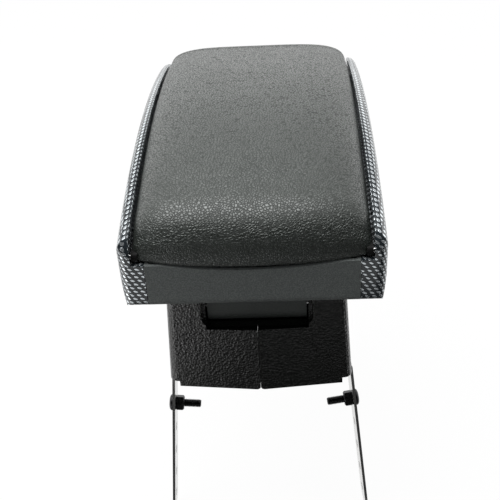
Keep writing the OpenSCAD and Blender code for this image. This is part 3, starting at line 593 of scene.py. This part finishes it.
# %% Pad: side view
REAR_BULGE, FRONT_GAP = 3.4 * MM, 0.2 * MM
REAR_ROUND, FRONT_ROUND = 30 * MM, 18 * MM
UNDER_DROP = 4.4 * MM
WAIST_OVER_HINGE, WAIST_OVER_SEAT = 1 * MM, 5 * MM
BODY_STEPS = 74
rear_tip = hinge_y - REAR_BULGE
rear_bottom, rear_waist = hinge_z - UNDER_DROP, hinge_z + WAIST_OVER_HINGE
rear_path = rolled_end(rear_tip, REAR_ROUND, rear_bottom, rear_waist, 1)
front_tip = pad_high.y - FRONT_GAP
front_seat = pad_seat(front_tip)
front_waist = front_seat + WAIST_OVER_SEAT
front_path = rolled_end(front_tip, FRONT_ROUND, front_seat, front_waist, -1)
first_y, last_y = rear_path[-1][0].y, front_path[-1][0].y
body_path = []
for k in range(1, BODY_STEPS):
    y = first_y + (last_y - first_y) * k / BODY_STEPS
    body_path.append((Vector((0, y, pad_crest(y))), Vector((0, y, pad_seat(y)))))
pad_path = rear_path + body_path + front_path[::-1]
print(len(pad_path), "rings, rear tip at", round(rear_tip * 1000, 1), "mm")

# %% Pad: one section
SIDE_POINTS = 64
SECTION_POWER, FRONT_SECTION_POWER, CORNER_POWER = 3.2, 4.4, 6.5
REAR_SAG, REAR_BOW = 3.9 * MM, 3.4 * MM
REAR_LENGTH, LOW_HEIGHT = 45 * MM, 20 * MM
CREST_FALL, FALL_LENGTH, FALL_POWER = 3.2 * MM, 70 * MM, 1.6


def left_over(distance, length):
    """1 at no distance, falling evenly to 0 at the given length."""
    return max(0.0, 1 - distance / length)


def pad_ring(side, core):
    """One closed section: over the top from side to side, then back along the core line."""
    from_tip = side.y - rear_tip
    behind = left_over(from_tip, REAR_LENGTH) ** 2
    low = left_over(side.z - rear_bottom, LOW_HEIGHT) * behind
    early = left_over(from_tip, FALL_LENGTH) ** FALL_POWER
    forward = min(max(from_tip / (front_tip - rear_tip), 0.0), 1.0)
    power = SECTION_POWER + (FRONT_SECTION_POWER - SECTION_POWER) * forward ** 2
    power += (CORNER_POWER - SECTION_POWER) * low
    points = []
    for k in range(SIDE_POINTS + 1):
        angle = math.pi * (1 - k / SIDE_POINTS)
        across = signed_power(math.cos(angle), 2 / power)
        lift = abs(math.sin(angle)) ** (2 / power)
        point = core + (side - core) * lift
        centred = (1 - across * across) * lift
        point.x = pad_half * across
        point.y -= REAR_BOW * centred * behind
        point.z -= REAR_SAG * centred * low
        point.z -= CREST_FALL * centred * early * (1 - low)
        points.append(point)
    for k in range(1, SIDE_POINTS // 2):
        points.append(Vector((pad_half * (1 - 4 * k / SIDE_POINTS), core.y, core.z)))
    return points


# %% Pad: skin
pad_rings = [pad_ring(side, core) for side, core in pad_path]
pad = object_from_rings("leatherette_pad", pad_rings, leatherette)
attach(pad, "lid")
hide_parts("lid_pad")

# %% [markdown]
# ## Clamp bolts
#
# A clamp bolt is a pan head outside the strap and a bare thread inside it. A thread can
# be painted on with bump, but its outline shows against the white. So each bolt is one
# mesh of rings from the crown of its head to its tip, whose radius in the thread depends
# on how far round and how far along a point lies. It stands in for the frame's plain
# bolt, which gives its place, its direction and the radius of its head.

# %% Clamp bolts: measure
def measure_bolt(name):
    """Tip, direction towards the head, free length, radius, length and head radius."""
    mount = next(m for m in frame["record"]["mounts"] if m["name"] == name + "_end")
    out = -Vector(mount["axis"]).normalized()
    free = mount["dims"]["length_mm"] * MM
    radius = mount["dims"]["r_mm"] * MM
    points = [vertex.co for vertex in nodes[name].data.vertices]
    tip = min(point.dot(out) for point in points)
    crown = max(point.dot(out) for point in points)
    middle = Vector(mount["pos_m"])
    start = middle + out * (tip - middle.dot(out))
    head = max(((point - start) - out * (point - start).dot(out)).length for point in points)
    return start, out, free, radius, crown - tip, head


# %% Clamp bolts: thread
THREAD_PITCH, THREAD_DEPTH = 1.0 * MM, 0.5 * MM
THREAD_FLANK = 0.42
POINT_SHARE, POINT_LENGTH = 0.78, 0.7 * MM
SHANK_RADIUS = 2.65 * MM


def thread_radius(along, angle, radius, free):
    """Radius of a right-hand thread with a chamfered tip, or of the plain shank."""
    if along > free:
        return SHANK_RADIUS
    phase = (along / THREAD_PITCH - angle / (2 * math.pi)) % 1.0
    groove = max(0.0, 1 - abs(phase - 0.5) / THREAD_FLANK)
    point = min(1.0, POINT_SHARE + (1 - POINT_SHARE) * along / POINT_LENGTH)
    return (radius - THREAD_DEPTH * groove) * point


# %% Clamp bolts: build
HEAD_HEIGHT, HEAD_SIDE, HEAD_CHAMFER = 3.2 * MM, 0.9 * MM, (0.25 * MM, 0.3 * MM)
HEAD_POWER = 0.62
THREAD_ROWS, HEAD_ROWS, RING_POINTS = 150, 8, 32
SHANK_STEP = 0.05 * MM
NEAR_ZERO = 0.02 * MM


def bolt_rows(free, length, head):
    """Distance from the tip and radius of every ring. The thread's radius comes later."""
    seat = length - HEAD_HEIGHT
    chamfer_height, chamfer_width = HEAD_CHAMFER
    rows = [(free * k / THREAD_ROWS, None) for k in range(THREAD_ROWS + 1)]
    rows += [(free + SHANK_STEP, SHANK_RADIUS), (seat, SHANK_RADIUS)]
    rows += [(seat, head - chamfer_width), (seat + chamfer_height, head)]
    for k in range(1, HEAD_ROWS + 1):
        turn = k / HEAD_ROWS * math.pi / 2
        rise = HEAD_SIDE + (HEAD_HEIGHT - HEAD_SIDE) * math.sin(turn)
        rows.append((seat + rise, head * math.cos(turn) ** HEAD_POWER))
    return rows


def clamp_bolt(name):
    """The threaded bolt that stands in for a plain one."""
    start, out, free, radius, length, head = measure_bolt(name)
    side = out.cross(Vector((0, 0, 1))).normalized()
    lift = side.cross(out)
    rings = []
    for along, fixed in bolt_rows(free, length, head):
        ring = []
        for i in range(RING_POINTS):
            angle = 2 * math.pi * i / RING_POINTS
            r = thread_radius(along, angle, radius, free) if fixed is None else fixed
            spoke = side * math.cos(angle) + lift * math.sin(angle)
            ring.append(start + out * along + spoke * max(r, NEAR_ZERO))
        rings.append(ring)
    piece = object_from_rings(name + "_threaded", rings, black_oxide)
    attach(piece, "pedestal")
    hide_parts(name)


for bolt_name in ("clamp_bolt_left", "clamp_bolt_right"):
    clamp_bolt(bolt_name)

# %% [markdown]
# ## Floor
#
# The armrest stands on a pale floor that the camera sees as plain white, with a trace of
# shadow. What its gloss mirrors decides how it looks, so the floor has another face for
# mirrored rays only. The stretch between armrest and camera is dim and keeps the pedestal
# dark. A white card at its far side makes the ovals on the rear faces shine, and reaches
# closer on the left. A brighter card near the pedestal's left makes its texture sparkle.
# Real cards and lamps in the same places would do it too, but they would stand in the
# picture and light the plain surfaces.

# %% Floor: the sheet
FLOOR_GAP, FLOOR_REACH = 3 * MM, 6.0
floor_height = cad_bounds[0][2] - FLOOR_GAP
corners = [(x * FLOOR_REACH, y * FLOOR_REACH, 0) for x, y in ((-1, -1), (1, -1), (1, 1), (-1, 1))]
floor_mesh = bpy.data.meshes.new("floor")
floor_mesh.from_pydata(corners, [], [(0, 1, 2, 3)])
floor = bpy.data.objects.new("floor", floor_mesh)
floor.location.z = floor_height
bpy.context.scene.collection.objects.link(floor)
print("floor at", round(floor_height * 1000), "mm")

# %% Floor: its zones
DIM_FROM, DIM_FULL = 8 * MM, -30 * MM
CARD_NEAR, CARD_FAR, CARD_EDGE = -375 * MM, -560 * MM, -15 * MM
LEFT_NEAR, LEFT_EDGE = -195 * MM, -40 * MM
LEFT_SIDE, LEFT_FADE = -75 * MM, -70 * MM
LOW_NEAR, LOW_FAR, LOW_EDGE = -90 * MM, -205 * MM, -30 * MM
LOW_SIDE, LOW_FADE = -128 * MM, -50 * MM


def grey(level):
    """A neutral colour."""
    return (level, level, level, 1)


def past(graph, value, start, fade):
    """0 before the start, and 1 from one fade's length past it."""
    return graph.smooth(value, start, start + fade)


pale, graph, shader, coordinate = new_material("pale_floor", grey(0.5), 0.8)
place = graph.add("SeparateXYZ", {0: coordinate})
x, y = place.outputs[0], place.outputs[1]
beyond = graph.smooth(y, DIM_FULL, DIM_FROM)
past_card = past(graph, y, CARD_FAR, CARD_EDGE)
card = graph.math("SUBTRACT", past(graph, y, CARD_NEAR, CARD_EDGE), past_card)
on_left = past(graph, x, LEFT_SIDE, LEFT_FADE)
from_near = graph.math("MULTIPLY", past(graph, y, LEFT_NEAR, LEFT_EDGE), on_left)
left_card = graph.math("SUBTRACT", from_near, past_card)
past_low = past(graph, y, LOW_FAR, LOW_EDGE)
low_band = graph.math("SUBTRACT", past(graph, y, LOW_NEAR, LOW_EDGE), past_low)
low_card = graph.math("MULTIPLY", low_band, past(graph, x, LOW_SIDE, LOW_FADE))
print("cards from", round(CARD_NEAR * 1000), "and", round(LOW_NEAR * 1000), "mm towards the camera")

# %% Floor: what each kind of ray meets
SHADOW_SHARE = 0.05
LOW_CARD_GLOW = 3.6
DIM_FLOOR, LIT_FLOOR = grey(0.04), grey(0.8)
cards = graph.math("MAXIMUM", graph.math("MAXIMUM", card, left_card), low_card)
bright = graph.math("MAXIMUM", beyond, cards)
path = graph.add("LightPath")
is_mirrored = path.outputs["Is Glossy Ray"]
low_glow = graph.math("MULTIPLY", low_card, LOW_CARD_GLOW - 1)
strength = graph.math("MULTIPLY_ADD", low_glow, is_mirrored, 1.0)
glow = graph.add("Emission", {"Color": grey(1.0), "Strength": strength})
mirrored = graph.math("MULTIPLY", is_mirrored, bright)
shown = graph.math("MAXIMUM", path.outputs["Is Camera Ray"], mirrored)
glow_share = graph.math("MULTIPLY", shown, 1 - SHADOW_SHARE)
shader.inputs["Specular IOR Level"].default_value = 0.0
graph.feed(shader.inputs["Base Color"], graph.mix(beyond, DIM_FLOOR, LIT_FLOOR))
both = graph.add("MixShader", {0: glow_share, 1: shader, 2: glow})
graph.feed(pale.node_tree.nodes["Material Output"].inputs["Surface"], both)
floor_mesh.materials.append(pale)
print(pale.name, "keeps", round(SHADOW_SHARE * 100), "% of the shadow")

# %% [markdown]
# ## World and lamps
#
# The backdrop is the world itself. The camera sees it white. Plain surfaces get a soft
# light that grows with height. Gloss mirrors a bright horizon beyond the armrest, a
# darker band above it, and almost nothing on the camera's side, which gives the pad its
# pale far end and its dark rear roll. One broad lamp hangs overhead. A small weak one
# stands low at the left and grazes the pedestal.

# %% World
AMBIENT_LOW, AMBIENT_HIGH = 0.3, 1.0
AMBIENT_FROM, AMBIENT_FULL = -0.1, 0.9
DIM_SIDE = 0.015
DIM_UNTIL, BRIGHT_FROM = -0.25, 0.3
HORIZON, DIP, UPPER = 1.9, 0.5, 0.6
HORIZON_UNTIL, DIP_FROM, DIP_UNTIL, UPPER_FROM = 0.25, 0.5, 0.62, 0.85
world = bpy.data.worlds.new("white_room")
bpy.context.scene.world = world
world.use_nodes = True
graph = Graph(world.node_tree)
sky = world.node_tree.nodes["Background"]
sky.inputs["Color"].default_value = grey(1.0)
path = graph.add("LightPath")
looking = graph.add("SeparateXYZ", {0: graph.add("TexCoord").outputs["Generated"]})
ahead, above = looking.outputs[1], looking.outputs[2]
room = graph.smooth(above, AMBIENT_FROM, AMBIENT_FULL, AMBIENT_LOW, AMBIENT_HIGH)
beyond = graph.smooth(ahead, DIM_UNTIL, BRIGHT_FROM, DIM_SIDE, 1.0)
falling = graph.smooth(above, HORIZON_UNTIL, DIP_FROM, HORIZON, DIP)
rising = graph.smooth(above, DIP_UNTIL, UPPER_FROM, 0.0, UPPER)
mirrored = graph.math("MULTIPLY", beyond, graph.math("ADD", falling, rising))
light = graph.mix_values(path.outputs["Is Glossy Ray"], room, mirrored)
seen = graph.math("MAXIMUM", path.outputs["Is Camera Ray"], path.outputs["Is Transmission Ray"])
graph.feed(sky.inputs["Strength"], graph.math("MAXIMUM", light, seen))
print(world.name, "is", HORIZON, "times white at the horizon for mirrored rays")


# %% Lamps
def soft_lamp(name, place, target, size, power):
    """A round lamp at a place in metres, turned to its target."""
    lamp = bpy.data.lights.new(name, "AREA")
    lamp.shape = "DISK"
    lamp.size = size
    lamp.energy = power
    holder = bpy.data.objects.new(name, lamp)
    holder.location = place
    aim = Vector(target) - Vector(place)
    holder.rotation_euler = aim.to_track_quat("-Z", "Y").to_euler()
    bpy.context.scene.collection.objects.link(holder)
    print("lamp", name, "of", power, "W,", size, "m across")


soft_lamp("overhead", (-0.28, 0.14, 1.3), (0, 0.1, 0.1), 1.15, 19)
soft_lamp("low_left", (-0.6, -0.5, -0.03), (-0.03, 0, 0.05), 0.2, 0.25)

# %% [markdown]
# ## Colour
#
# The render's colours stay as written: the plain view transform, and no exposure.

# %% Colour
bpy.context.scene.view_settings.view_transform = "Standard"
